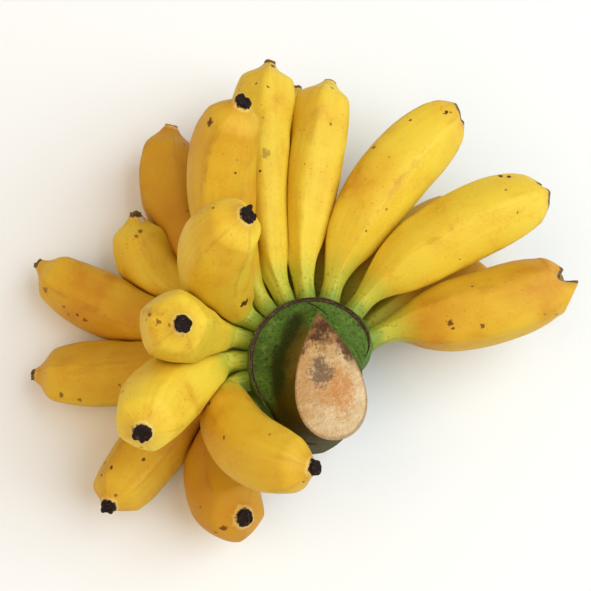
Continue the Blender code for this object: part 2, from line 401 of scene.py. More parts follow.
def finger_surface(rings, seed, end, ridges, tears):
    """The finger's grid of points, and for each point the numbers that its finish needs."""
    middle = rings.mean(1)
    length = np.concatenate([[0], np.cumsum(np.linalg.norm(np.diff(middle, axis=0), axis=1))])
    wanted = np.concatenate([
        np.linspace(0, TIP_FROM * length[-1], BODY_ROWS, endpoint=False),
        np.linspace(TIP_FROM * length[-1], length[-1], TIP_ROWS),
    ])
    along = wanted[:, None]
    near_tip = length[-1] - along
    ahead = unit(middle[-1] - middle[-2])
    crest = (1 - np.abs(np.sin(2.5 * (ANGLE - ridge_turn(rings))))) ** 1.5

    grid = rounder(through(rings, length, wanted), AROUND)
    grid = ridged(grid, along, near_tip, crest, ridges, seed)
    grid = scaled(grid, 1 + end.widen * smooth_step(0.010, 0.001, near_tip)[:, :, None])
    grid = torn(grid, near_tip, ahead, tears)
    root = scaled(grid[:1] + unit(middle[0] - middle[1]) * ROOT_DEPTH, 1 + ROOT_FLARE)
    grid = scaled(grid, 1 + ROOT_FLARE * np.exp(-along / FLARE_REACH)[:, :, None])
    grid = np.concatenate([root, grid, stump(grid[-1], ahead, end.stand, seed)])
    grid[..., 2] = np.maximum(grid[..., 2], 0)  # soft fruit lies flat on what it rests on

    past_tip = length[-1] + 0.0005 * np.arange(1, len(STUMP) + 1)
    along = np.concatenate([[-ROOT_DEPTH], wanted, past_tip])[:, None] * np.ones((1, AROUND))
    across = [GRAIN_ROUND * np.cos(ANGLE) + 0 * along, GRAIN_ROUND * np.sin(ANGLE) + 0 * along]
    numbers = {
        "from_crown": along,
        "to_tip": length[-1] - along,
        "ridge": crest ** 3 + 0 * along,
        "grain": np.stack([*across, GRAIN_ALONG * along], -1) + (0, 0, 0.37 * seed),
    }
    return grid, numbers


print("a finger gets", 1 + BODY_ROWS + TIP_ROWS + len(STUMP), "rows of", AROUND, "points")

# %% [markdown]
# ## The crown's shape
# The crown is a thick green cushion. From its middle rises the stub of stalk, cut off slantwise with a
# knife, so that its end is a long pale teardrop. The grid runs from the middle of the lower cut face,
# out to its edge, up the wall, in over the top and up the stub, to the middle of the upper cut face.

# %% Grid of the crown
CROWN_SIDES = 192
RIM = 4  # which of the solid's rings is the scar ring
BELOW_ROWS, WALL_ROWS, TOP_ROWS, OVER_ROWS = 22, 46, 84, 30


def shrunk(ring, shares):
    """Copies of a ring, drawn in towards its middle."""
    return ring.mean(0) + (ring - ring.mean(0)) * shares[:, None, None]


even = np.arange(len(crown_rings), dtype=float)
up_the_wall = np.linspace(0, RIM, WALL_ROWS)
over_the_top = np.linspace(0, len(crown_rings) - 1 - RIM, TOP_ROWS)[1:]
wall = rounder(through(crown_rings[: RIM + 1], even[: RIM + 1], up_the_wall), CROWN_SIDES)
top = rounder(through(crown_rings[RIM:], even[RIM:] - RIM, over_the_top), CROWN_SIDES)
below = shrunk(wall[0], np.linspace(0.04, 0.97, BELOW_ROWS))
over = shrunk(top[-1], np.linspace(0.975, 0.04, OVER_ROWS))
smooth_crown = np.concatenate([below, wall, top, over])

row = np.arange(len(smooth_crown))[:, None] * np.ones((1, CROWN_SIDES))
first_wall, first_top, first_over = len(below), len(below) + len(wall), len(smooth_crown) - len(over)
on_wall = (row >= first_wall) & (row < first_top)
on_top = (row >= first_top) & (row < first_over)
on_cut = (row >= first_over) | (row < first_wall)
print("grid of the crown", smooth_crown.shape)

# %% [markdown]
# ## The crown's relief
# A brown scar runs round the top edge, where a leaf-like bract once sat: raised, rough, and with a
# groove on either side. A crease runs from it to the point of the cut. Below it the wall swells out
# round the necks that grow from it. All of it is so shallow that pushing the grid's points outwards is
# enough.

# %% Relief of the crown
SCAR_WIDTH, SCAR_HEIGHT, GROOVE_DEPTH = 0.0020, 0.00045, 0.00035
CREASE_WIDTH, CREASE_DEPTH = 0.00045, 0.0006
CREASE = ((-0.0024, 0.0262), (0.0012, 0.0245), (0.0040, 0.0222), (0.0064, 0.0200))
NECK_SWELL, BROAD_DENT, SMALL_DENT, FIBRES = 0.0011, 0.00045, 0.00016, 0.00022
FADE_ROWS = 3  # the relief fades over this many rows on either side of an edge


def distance_to_line(x, y, line):
    """How far plan points are from a line of short straight pieces."""
    nearest = np.full(x.shape, 9.0)
    for (ax, ay), (bx, by) in zip(line, line[1:]):
        share = ((x - ax) * (bx - ax) + (y - ay) * (by - ay)) / ((bx - ax) ** 2 + (by - ay) ** 2)
        share = np.clip(share, 0, 1)
        nearest = np.minimum(nearest, np.hypot(x - ax - share * (bx - ax), y - ay - share * (by - ay)))
    return nearest


def arc(turn, start, full, fading, gone, shift):
    """1 on a stretch of the way round, in degrees, and 0 off it; shift moves the seam off the stretch."""
    moved = (turn + shift) % 360
    return smooth_step(start, full, moved) * (1 - smooth_step(fading, gone, moved))


x, y = smooth_crown[..., 0] - crown_middle.x, smooth_crown[..., 1] - crown_middle.y
z = smooth_crown[..., 2] - crown_middle.z
turn = np.degrees(np.arctan2(y, x)) % 360
steps = np.linalg.norm(np.diff(smooth_crown, axis=0, prepend=smooth_crown[:1]), axis=-1)
travelled = np.cumsum(steps, 0)
past_rim = travelled - travelled[first_top - 1]
first, second, third = top[-1][[0, 60, 120]]  # three points well apart on the edge of the cut
cut_normal = unit(np.cross(first - second, third - second))
cut_normal = cut_normal * np.sign(cut_normal[2])
facing = outward(smooth_crown)
facing[:first_wall] = (0, 0, -1)
facing[first_over:] = cut_normal

swell = NECK_SWELL * arc(turn, 10, 26, 216, 238, 12) * smooth_step(-0.034, -0.022, z)
swell = swell * (1 - smooth_step(-0.0045, -0.0008, z)) * on_wall
uneven = 0.5 + 0.5 * lumps(smooth_crown, 0.003, 7)
ringed = arc(turn, 18, 28, 232, 244, 15)
scar = hump(past_rim, 0.05 * SCAR_WIDTH, 0.75 * SCAR_WIDTH) * ringed
groove = hump(np.abs(past_rim - 0.20 * SCAR_WIDTH), 0.0008, 0.00025) * ringed
scarred = SCAR_HEIGHT * scar * (0.6 + uneven) - GROOVE_DEPTH * groove
crease = hump(distance_to_line(x, y, CREASE), 0, CREASE_WIDTH) * on_top
lumpy = BROAD_DENT * lumps(smooth_crown, 0.012, 3) + SMALL_DENT * lumps(smooth_crown, 0.004, 5)
fibres = FIBRES * lumps(smooth_crown * (1, 1, 3), 0.0016, 11)
push = np.where(on_cut, fibres, swell + scarred + lumpy - CREASE_DEPTH * crease)
from_edge = np.minimum(np.abs(row - first_over + 0.5), np.abs(row - first_wall + 0.5)) / FADE_ROWS
crown_grid = smooth_crown + facing * (push * np.clip(from_edge, 0, 1))[:, :, None]
print("relief from", round(push.min() * 1000, 2), "to", round(push.max() * 1000, 2), "mm")

# %% [markdown]
# ## Numbers for the crown's finishes
# The stains on the cut lie at certain places between its point and its blunt end, and the stub gets painted
# shade on its shaded side only. So each point keeps where it is, in shares of the face or of the way up. The
# lower cut has no point, so there its middle takes the place of the pith.

# %% Numbers on the crown
blade = top[-1]
heart = blade.mean(0)
tip, blunt = blade[np.argmin(blade[:, 2])], blade[np.argmax(blade[:, 2])]
lengthwise = unit(blunt - tip)
sideways = np.cross(cut_normal, lengthwise)
cut_along = (crown_grid - tip) @ lengthwise / np.linalg.norm(blunt - tip)
cut_across = (crown_grid - heart) @ sideways / np.abs((blade - heart) @ sideways).max()
cut_edge = np.clip((row - first_over) / len(over), 0, 1)
under = row < first_wall
from_middle = row / len(below)
crown_numbers = {
    "scar": scar * (0.75 + 0.5 * uneven),
    "crease": crease,
    "groove": groove,
    "inward": np.where(on_top, (row - first_top) / (len(top) - 1), 0),
    # painted shade: the side of the crown and stub that faces away from the light is painted darker
    "shaded": arc(turn, 94, 112, 332, 346, 0),
    "bare": arc(turn, 222, 240, 335, 352, 0),
    "cut_along": np.where(under, 0.50 + 0.45 * from_middle, cut_along),
    "cut_across": np.where(under, 0.6 * x / SCAR_RADIUS, cut_across),
    "cut_edge": np.where(under, 1 - from_middle, cut_edge),
    "below": 1 - smooth_step(-0.034, -0.014, z),
}
print("the cut is", round(np.linalg.norm(blunt - tip) * 1000), "mm long")

# %% [markdown]
# ## Writing a finish as arithmetic
# A finish is a tree of nodes, but it is easier to think about as sums: a mask times a colour, one minus
# a mask. The class below stands for one output of a node. Adding or multiplying two of them adds the
# Math node that does it, and one method makes every other kind of node.

# %% Shader arithmetic
MIX_FACTOR, MIX_A, MIX_B, MIX_RESULT = 0, 6, 7, 2


class Shade:
    """One output of a node in a finish. Arithmetic on it adds Math nodes."""

    def __init__(self, tree, socket=None):
        self.tree = tree
        self.socket = socket

    def node(self, kind, settings, sockets, output=0):
        """Makes a node: first its settings, then a value or a link for each named socket."""
        made = self.tree.nodes.new(kind)
        for name, value in settings.items():
            setattr(made, name, value)
        for name, value in sockets.items():
            if isinstance(value, Shade):
                self.tree.links.new(value.socket, made.inputs[name])
            else:
                made.inputs[name].default_value = value
        return Shade(self.tree, made.outputs[output])

    def maths(self, operation, first, second):
        return self.node("ShaderNodeMath", {"operation": operation}, {0: first, 1: second})

    def __add__(self, other):
        return self.maths("ADD", self, other)

    def __sub__(self, other):
        return self.maths("SUBTRACT", self, other)

    def __rsub__(self, other):
        return self.maths("SUBTRACT", other, self)

    def __mul__(self, other):
        return self.maths("MULTIPLY", self, other)

    __radd__ = __add__
    __rmul__ = __mul__

    def larger(self, other):
        return self.maths("MAXIMUM", self, other)

    def rise(self, low, high):
        """0 below low, 1 above high, and an S curve between; high may be the smaller one."""
        limits = {"Value": self, "From Min": low, "From Max": high}
        return self.node("ShaderNodeMapRange", {"interpolation_type": "SMOOTHSTEP"}, limits)

    def far_from(self, point):
        """How far this place is from a point."""
        return self.node("ShaderNodeVectorMath", {"operation": "DISTANCE"}, {0: self, 1: point}, 1)

    def cover(self, colour, mask):
        """This colour with another laid over it where the mask is 1."""
        sockets = {MIX_FACTOR: mask, MIX_A: self, MIX_B: colour}
        return self.node("ShaderNodeMix", {"data_type": "RGBA"}, sockets, MIX_RESULT)

    def spread(self, x, y, z):
        """This place with each of its three numbers multiplied by its own factor."""
        return self.node("ShaderNodeVectorMath", {"operation": "MULTIPLY"}, {0: self, 1: (x, y, z)})

    def beside(self, second, third):
        """A place made from three numbers."""
        return self.node("ShaderNodeCombineXYZ", {}, {0: self, 1: second, 2: third})


steps = [name for name in vars(Shade) if not name.startswith("_")]
print("besides + - and * there are", ", ".join(steps))

# %% [markdown]
# ## Colours, clouds and specks
# Every finish starts with the same few things: a colour, some cloudy noise, specks, and the numbers that
# the piece keeps on its points. What varies is linked to the shader in one place, at the end.

# %% Starting a finish
def linear(code):
    """A colour such as "f4d345" as the linear values that a shader takes."""
    parts = [int(code[i : i + 2], 16) / 255 for i in (0, 2, 4)]
    return (*[part / 12.92 if part < 0.04 else ((part + 0.055) / 1.055) ** 2.4 for part in parts], 1.0)


class Finish(Shade):
    """A new finish: the places, patterns and numbers that its shader is made from."""

    def __init__(self, name):
        self.material = bpy.data.materials.new(name)
        self.material.use_nodes = True
        super().__init__(self.material.node_tree)
        self.surface = self.tree.nodes["Principled BSDF"]
        self.place = self.node("ShaderNodeTexCoord", {}, {}, "Object")

    def blend(self, under, over, mask):
        """One plain colour with another laid over it where the mask is 1."""
        sockets = {MIX_FACTOR: mask, MIX_A: under, MIX_B: over}
        return self.node("ShaderNodeMix", {"data_type": "RGBA"}, sockets, MIX_RESULT)

    def number(self, label, output="Fac"):
        """A number that was kept on the points of the piece."""
        return self.node("ShaderNodeAttribute", {"attribute_name": label}, {}, output)

    def cloud(self, scale, detail=2.0, place=None):
        """Cloudy noise, about 0.3 to 0.7, with this many clouds to the metre."""
        sockets = {"Vector": place or self.place, "Scale": scale, "Detail": detail}
        return self.node("ShaderNodeTexNoise", {}, sockets)

    def specks(self, scale, largest, wobble):
        """Uneven specks, one in some of the cells of a random pattern, up to largest cells in radius."""
        cells = self.node("ShaderNodeTexVoronoi", {}, {"Vector": self.place, "Scale": scale})
        colour = Shade(self.tree, cells.socket.node.outputs["Color"])
        chance = self.node("ShaderNodeSeparateColor", {}, {0: colour})
        size = chance.rise(0.35, 1.0) * largest
        return (cells - size + wobble).rise(0.03, -0.03)

    def done(self, colour, roughness, height, depth):
        """Links what varies to the shader: colour, roughness, and a relief this many metres deep."""
        relief = {"Height": height, "Strength": 1.0, "Distance": depth}
        bump = self.node("ShaderNodeBump", {}, relief)
        for name, value in (("Base Color", colour), ("Roughness", roughness), ("Normal", bump)):
            self.tree.links.new(value.socket, self.surface.inputs[name])
        return self.material


print("middle grey is", [round(part, 3) for part in linear("808080")[:3]], "to a shader")

# %% [markdown]
# ## Ripe peel
# Ripe peel is never one yellow: it drifts from lemon to a deeper, more orange yellow, with faint streaks
# along the finger. The neck stays green longest. Clouds of several sizes, from a hand's breadth down to
# the pores, are enough to mix these from.

# %% Ripe yellow and green neck
LEMON, DEEP_YELLOW, ORANGE = linear("e4c93e"), linear("dbab26"), linear("c07a1a")
LIME, NECK_GREEN, NECK_DARK = linear("bcba40"), linear("7d9638"), linear("4b5419")
TAN = linear("a8741f")
Clouds = namedtuple("Clouds", "broad blotch fine tiny streak")


def ripe_yellow(finish, clouds, tone):
    """Yellow that drifts, with faint streaks, bruises and a fine mottle. Tone leans it to orange and tan:
    partly the finger's own ripeness, partly painted shade.
    """
    broad, blotch, fine, tiny, streak = clouds
    # a deeper tone: partly the finger's own ripeness, partly painted shade on fingers that lie low or behind
    # others
    ripe = (broad - 0.5) * 1.3 + (streak - 0.5) * 0.7 + (blotch - 0.5) * 0.6 + (0.38 + tone)
    colour = finish.blend(LEMON, DEEP_YELLOW, ripe)
    colour = colour.cover(ORANGE, (blotch + broad - 1.0).rise(0.10, 0.42) * 0.35)
    colour = colour.cover(ORANGE, broad.rise(0.34, 0.80) * max(0.0, 0.25 + 0.8 * tone))
    # painted shade in part: a deeper tone darkens the whole finger towards tan
    colour = colour.cover(TAN, max(0.0, 0.45 * tone))
    colour = colour.cover(TAN, (tiny - 0.5).rise(0.02, 0.22) * 0.16)
    return colour.cover(ORANGE, (fine * blotch - 0.25).rise(0.02, 0.14) * 0.14)


def green_neck(colour, clouds, from_crown):
    """Green near the crown, with dark flecks."""
    fade = from_crown + (clouds.streak - 0.5) * 0.012 + (clouds.blotch - 0.5) * 0.010
    colour = colour.cover(LIME, fade.rise(0.026, 0.011) * 0.9)
    colour = colour.cover(NECK_GREEN, fade.rise(0.009, 0.001) * 0.9)
    flecks = (clouds.fine - 0.5).rise(0.06, 0.16) * from_crown.rise(0.022, 0.008)
    return colour.cover(NECK_DARK, flecks * 0.40)


print("lemon is", [round(part, 2) for part in LEMON[:3]], "to a shader")

# %% [markdown]
# ## Specks, rubbed ridges and scars
# Small brown specks come with ripening, the ridges rub brown first, and a knock leaves a scar of its
# own. Specks can fall anywhere, so a random pattern places them. A scar is larger and belongs in one
# place, so it is worked out from how far each place is from the scar's middle, with a rough edge.

# %% Marks on the peel
BROWN, DARK_BROWN, SAP = linear("8a5a1e"), linear("4a2a12"), linear("cfcacb")


def speckled(finish, colour, clouds, from_crown):
    """The colour with small specks and rubbed ridges, and where the larger specks are."""
    wobble = (clouds.tiny - 0.5) * 0.35
    speck = finish.specks(115, 0.10, wobble * 0.7) * (clouds.blotch - 0.5).rise(-0.05, 0.10)
    small = finish.specks(400, 0.19, wobble) * clouds.broad.rise(0.35, 0.60)
    worn = (clouds.streak * clouds.blotch).rise(0.22, 0.34)
    rubbed = finish.number("ridge") * worn * from_crown.rise(0.020, 0.040)
    colour = colour.cover(BROWN, small * 0.40)
    return colour.cover(BROWN, rubbed * 0.30), speck


def scarred_peel(finish, colour, clouds, marks, speck):
    """The colour with its scars. Marks are (point, radius, strength); above 1 there is dried sap too."""
    scar = speck * 0.5
    rough = (clouds.fine - 0.5) * 2.4 + (clouds.blotch - 0.5) * 1.2
    for point, radius, strength in marks:
        reach = finish.place.far_from(point) + rough * radius
        scar = scar.larger(reach.rise(radius, 0.4 * radius) * min(strength, 1.0))
    colour = colour.cover(BROWN, scar.rise(0.0, 0.6) * 0.9)
    colour = colour.cover(DARK_BROWN, scar.rise(0.5, 1.0))
    for point, radius, strength in marks:
        if strength > 1:
            reach = finish.place.far_from(point) + rough * (0.3 * radius)
            colour = colour.cover(SAP, reach.rise(0.80 * radius, 0.55 * radius))
    return colour, scar


print("a scar is", [round(part, 3) for part in DARK_BROWN[:3]], "in the middle")

# %% [markdown]
# ## The dried end, and the whole peel
# The flower end is black, dull and crumbly, with a pale rim of peel round it. Where it was torn off, the
# drying pulp shows. The peel itself has a soft, waxy sheen.

# %% Peel finish
STUMP_BLACK, STUMP_BROWN, STUMP_SMALL = linear("1d1113"), linear("5a3d30"), linear("4d3020")
PALE_RIM, PULP = linear("e6d083"), linear("a98a55")


def dried_end(colour, clouds, to_tip, end):
    """The colour with its flower end or tear, and where it is dry and where it is crumbly."""
    fine, blotch = clouds.fine, clouds.blotch
    edge = to_tip + (fine - 0.5) * 0.0030 + (blotch - 0.5) * 0.0010
    colour = colour.cover(ORANGE, edge.rise(0.0065, 0.0010) * 0.30)
    colour = colour.cover(PALE_RIM, edge.rise(0.0022, 0.0010) * 0.55)
    dry = edge.rise(0.0010 + end.rim, 0.0003 + end.rim) * end.dark
    crumbs = (fine - 0.5).rise(0.0, 0.16)
    colour = colour.cover(end.colour, dry)
    colour = colour.cover(STUMP_BROWN, dry * crumbs * 0.6)
    if end.stand < 0:  # torn open
        colour = colour.cover(PULP, (edge + (blotch - 0.5) * 0.004).rise(-0.0008, -0.0020) * 0.85)
    return colour, dry, crumbs


def peel(name, seed, marks, end, tone):
    """The peel of one finger."""
    finish = Finish(name)
    from_crown, to_tip = finish.number("from_crown"), finish.number("to_tip")
    grain = finish.number("grain", "Vector")
    broad, blotch = finish.cloud(26 + seed % 5, 2.0), finish.cloud(95, 3.0)
    fine, tiny = finish.cloud(620, 4.0), finish.cloud(1700, 3.0)
    streak = finish.cloud(420, 3.0, grain)
    clouds = Clouds(broad, blotch, fine, tiny, streak)

    colour = ripe_yellow(finish, clouds, tone)
    colour = green_neck(colour, clouds, from_crown)
    colour, speck = speckled(finish, colour, clouds, from_crown)
    colour, scar = scarred_peel(finish, colour, clouds, marks, speck)
    colour, dry, crumbs = dried_end(colour, clouds, to_tip, end)

    finish.surface.inputs["Specular IOR Level"].default_value = 0.25
    roughness = 0.54 + (fine - 0.5) * 0.3 + scar * 0.2 + dry * 0.3
    height = streak * 0.4 + fine * 0.25 + tiny * 0.15 + scar * -0.6 + crumbs * dry * 2.5
    return finish.done(colour, roughness, height, 0.00035)


print("a peel takes", len(Clouds._fields), "kinds of cloud")

# %% [markdown]
# ## What sets each finger apart
# No two fingers of a hand have lived alike. The ones that lay against others kept their black flower
# end, and the ones that stuck out had it knocked off. A deeper tone is partly a finger's own ripeness and
# partly painted shade on fingers that lie low or behind others. A mark is given by how many millimetres
# from the crown it is, how many degrees round from the upper side, how many millimetres in radius, and
# how dark; above 1 it also has a spot of dried sap.

# %% Looks of each finger
# how far it stands out, how much wider the tip is, and the colour, its strength and its reach
End = namedtuple("End", "stand widen colour dark rim")
ENDS = {
    "black": End(1.0, -0.10, STUMP_BLACK, 1.0, 0.0),
    "brown": End(0.6, -0.28, STUMP_SMALL, 0.85, 0.0004),
    "bare": End(0.15, -0.15, BROWN, 0.6, 0.0),
    "broken": End(-1.8, 0.42, DARK_BROWN, 0.85, 0.0009),
}
# the end, how orange and tan the peel is (its own ripeness and painted shade), how plain the ridges are, and
# the marks and tears
Look = namedtuple("Look", "end tone ridges marks tears", defaults=((), ()))
LOOKS = {
    "finger_front_01": Look("broken", 0.34, 0.8, (
        (49, 34, 0.8, 0.9), (35, -17, 1.5, 0.8), (36, -24, 1.0, 0.8), (48, -29, 1.4, 0.7),
        (81, -60, 1.4, 0.7),
    ), ((14, -0.0045, 26), (-30, 0.0036, 16), (-78, -0.0015, 25))),
    "finger_front_02": Look("broken", -0.15, 0.7, (
        (89, 64, 1.8, 0.95), (92, 60, 1.6, 0.9), (88, -18, 0.9, 0.6), (87, 23, 0.8, 0.5),
        (55, -50, 0.6, 0.5),
    ), ((50, -0.0016, 20), (5, 0.0012, 25))),
    "finger_front_03": Look("broken", -0.10, 1.0, (
        (104, -12, 1.7, 0.95), (106, -4, 1.2, 0.9), (89, -40, 1.0, 0.7), (70, -57, 1.1, 0.7),
        (36, 22, 0.8, 0.6),
    ), ((40, -0.0014, 25), (-40, 0.0010, 25))),
    "finger_front_04": Look("bare", -0.15, 1.5, (
        (82, -19, 1.2, 0.5), (60, 14, 0.6, 0.5), (101, -12, 1.2, 0.6),
    )),
    "finger_front_05": Look("brown", -0.15, 1.4, (
        (102, 23, 0.8, 0.7), (100, 1, 0.8, 0.6), (85, 5, 0.8, 0.8), (61, 11, 0.8, 0.8), (68, 0, 2.6, 0.35),
        (117, -18, 1.8, 0.9),
    )),
    "finger_front_06": Look("black", 0.28, 0.9, (
        (87, -1, 0.7, 0.8), (80, -1, 0.8, 0.8), (98, -80, 1.9, 0.8),
    )),
    "finger_front_07": Look("black", -0.06, 0.6, ((29, 2, 2.0, 1.0), (31, 8, 2.0, 1.0), (84, 160, 1.0, 0.6))),
    "finger_front_08": Look("black", -0.32, 0.6, (
        (81, -178, 1.0, 0.7), (78, 170, 1.5, 0.6), (75, 156, 1.6, 0.6), (73, 163, 1.0, 0.5),
    )),
    "finger_front_09": Look("black", -0.25, 0.7, (
        (81, 109, 1.4, 0.9), (83, 114, 0.9, 0.8), (70, 140, 0.8, 0.5),
    )),
    "finger_front_10": Look("black", 0.38, 0.6, (
        (66, -24, 1.0, 0.5), (81, -150, 0.9, 0.7), (49, -71, 0.9, 0.6), (28, -60, 1.2, 0.8),
    )),
    "finger_back_05": Look("bare", 0.80, 1.3, ((70, 10, 0.8, 0.5),)),
    "finger_back_06": Look("brown", -0.10, 0.8, (
        (93, -24, 2.7, 1.1), (88, 10, 1.6, 0.6), (86, 20, 1.4, 0.5),
    )),
    "finger_back_07": Look("brown", 0.30, 0.8, (
        (103, 55, 2.2, 0.5), (92, 62, 1.8, 0.5), (80, 64, 1.6, 0.6), (84, 60, 1.0, 0.8),
    )),
    "finger_back_08": Look("brown", 0.32, 0.8, (
        (89, -61, 1.6, 0.6), (80, -64, 1.2, 0.5), (60, -40, 0.8, 0.5),
    )),
    "finger_back_09": Look("black", 0.30, 0.9, (
        (70, 28, 1.0, 0.8), (82, -16, 0.9, 0.8), (91, 26, 0.8, 0.7), (85, -40, 0.9, 0.8), (78, -50, 1.2, 0.5),
    )),
    "finger_back_10": Look("black", 0.85, 0.8, ((71, 66, 1.6, 0.85), (61, 31, 0.8, 0.5))),
}
PLAIN = Look("brown", 0.35, 0.9)
print(len(LOOKS), "fingers with looks of their own")

# %% [markdown]
# ## The fingers
# Every finger's piece takes the place of its own solid, which is hidden, and gets a peel finish of its own.

# %% Fingers
def spot_on(grid, lengths, place, degrees):
    """The point of a finger's grid this far from the crown and this far round from its upper side."""
    column = round(degrees / 360 * grid.shape[1]) % grid.shape[1]
    return grid[np.argmin(np.abs(lengths - place)), column]


for index, name in enumerate(fingers):
    seed = 3.1 * (index + 1)
    look = LOOKS.get(name, PLAIN)
    end = ENDS[look.end]
    grid, numbers = finger_surface(finger_rings[name], seed, end, look.ridges, look.tears)
    lengths = numbers["from_crown"][:, 0]
    marks = []
    for place, degrees, radius, strength in look.marks:
        marks.append((spot_on(grid, lengths, place / 1000, degrees), radius / 1000, strength))
    piece = closed_mesh(name + "_peel", grid, numbers)
    piece.data.materials.append(peel(name + "_peel", seed, marks, end, look.tone))
    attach(piece, "root")
    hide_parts(name)
print(len(fingers), "fingers of", len(piece.data.polygons), "faces")

# %% [markdown]
# ## Crown and cut
# The crown's skin is green and matt, darker down the stub, with a rough brown scar. The cut face is
# another stuff altogether: pale, damp fibres with a grey pith, stained orange and brown where the air
# has got at them. So the crown has two finishes. The green is mixed first, then what changes up the stub.

# %% Crown finish
CROWN_GREEN, CROWN_DARK, CROWN_LIGHT = linear("52702e"), linear("2c4418"), linear("78943f")
SCAR_BROWN, SCAR_PALE, CREASE_SHADE = linear("4a392b"), linear("86745f"), linear("1e1a0e")
BARE_OLIVE = linear("4a400e")
STUB_DARK, STUB_OLIVE, ROOT_LIME = linear("22260e"), linear("6c5c22"), linear("5c7a30")


def mottled_green(finish, broad, blotch, fine, tiny, shaded):
    """Uneven green with dark freckles, and darker on the shaded side as painted shade."""
    # painted shade: the green leans darker on the shaded side
    colour = finish.blend(CROWN_GREEN, CROWN_DARK, (broad - 0.5) * 1.6 + 0.10 + shaded * 0.15)
    colour = colour.cover(CROWN_LIGHT, (blotch - 0.5).rise(0.0, 0.25) * 0.45)
    colour = colour.cover(STUB_DARK, (fine - 0.5).rise(0.02, 0.18) * 0.55)
    return colour.cover(STUB_DARK, finish.specks(420, 0.28, (tiny - 0.5) * 0.6) * 0.6)


def up_the_stub(finish, colour, broad, blotch, fine, shaded):
    """Dark painted shade up the shaded side of the stub, then olive near the cut; olive all over on the bare
    side, and browner low down.
    """
    inward, bare, low_down = finish.number("inward"), finish.number("bare"), finish.number("below")
    risen = inward + (broad - 0.5) * 0.25 + (blotch - 0.5) * 0.2 + (fine - 0.5) * 0.15
    # painted shade: a dark band up the stub's shaded side
    colour = colour.cover(STUB_DARK, risen.rise(0.34, 0.60) * shaded * 0.85)
    colour = colour.cover(STUB_OLIVE, risen.rise(0.74, 1.0) * shaded * 0.8)
    colour = colour.cover(BARE_OLIVE, bare * (0.65 + blotch * 0.5))
    root = (1 - bare) * inward.rise(0.01, 0.0) * (blotch * 0.9 + 0.2)
    colour = colour.cover(ROOT_LIME, root)
    return colour.cover(SCAR_BROWN, low_down * 0.6)


print("the crown is", [round(part, 2) for part in CROWN_GREEN[:3]], "to a shader")

# %% [markdown]
# ## The scar ring and the crease
# The scar is rough, dead stuff, so its colour and its relief both break up at the edge. The crease and
# the grooves beside the scar are painted nearly black as painted shade.

# %% Crown skin
def crown_skin():
    """The skin of the crown and of the stub's wall."""
    finish = Finish("crown_skin")
    scar, crease, groove = finish.number("scar"), finish.number("crease"), finish.number("groove")
    shaded = finish.number("shaded")
    broad, blotch = finish.cloud(70, 2.0), finish.cloud(260, 3.0)
    fine, tiny = finish.cloud(900, 4.0), finish.cloud(2200, 3.0)
    around = finish.cloud(1.0, 3.0, finish.place.spread(700, 700, 60))  # long marks run up the stalk

    colour = mottled_green(finish, broad, blotch, fine, tiny, shaded)
    colour = colour.cover(STUB_DARK, (around - 0.5).rise(0.02, 0.20) * 0.45)
    colour = up_the_stub(finish, colour, broad, blotch, fine, shaded)
    # painted shade: the crease painted nearly black
    colour = colour.cover(CREASE_SHADE, crease.rise(0.3, 0.9) * 0.85)
    ring = (scar + (fine - 0.5) * 0.5 + (blotch - 0.5) * 0.4).rise(0.30, 0.50)
    colour = colour.cover(SCAR_BROWN, ring)
    colour = colour.cover(SCAR_PALE, ring * (fine - 0.5).rise(0.02, 0.14) * 0.4)
    # painted shade: the grooves beside the scar painted nearly black
    colour = colour.cover(CREASE_SHADE, groove.rise(0.3, 0.9) * 0.6)

    finish.surface.inputs["Specular IOR Level"].default_value = 0.1
    roughness = 0.66 + (fine - 0.5) * 0.3 + ring * 0.15
    height = fine * 0.5 + blotch * 0.5 + tiny * 0.2 + around * 0.5 + ring * fine * 1.2
    return finish.done(colour, roughness, height, 0.0005)


skin = crown_skin()
print("crown skin of", len(skin.node_tree.nodes), "nodes")

# %% [markdown]
# ## The cut face
# A knife leaves some fibres standing, so the cut is mealy and faintly streaked lengthwise. Round the
# point the knife has caught the bark, which is brown and split. In the middle is a grey pith, and below
# it the sap has turned orange. The lower part stays pale.

# %% Cut finish
FLESH, FLESH_PALE, FLESH_ORANGE = linear("c39c6b"), linear("e9d5b2"), linear("cb8742")
PITH_GREY, BARK_BROWN, SPLIT = linear("55504c"), linear("6b472b"), linear("3a1c16")


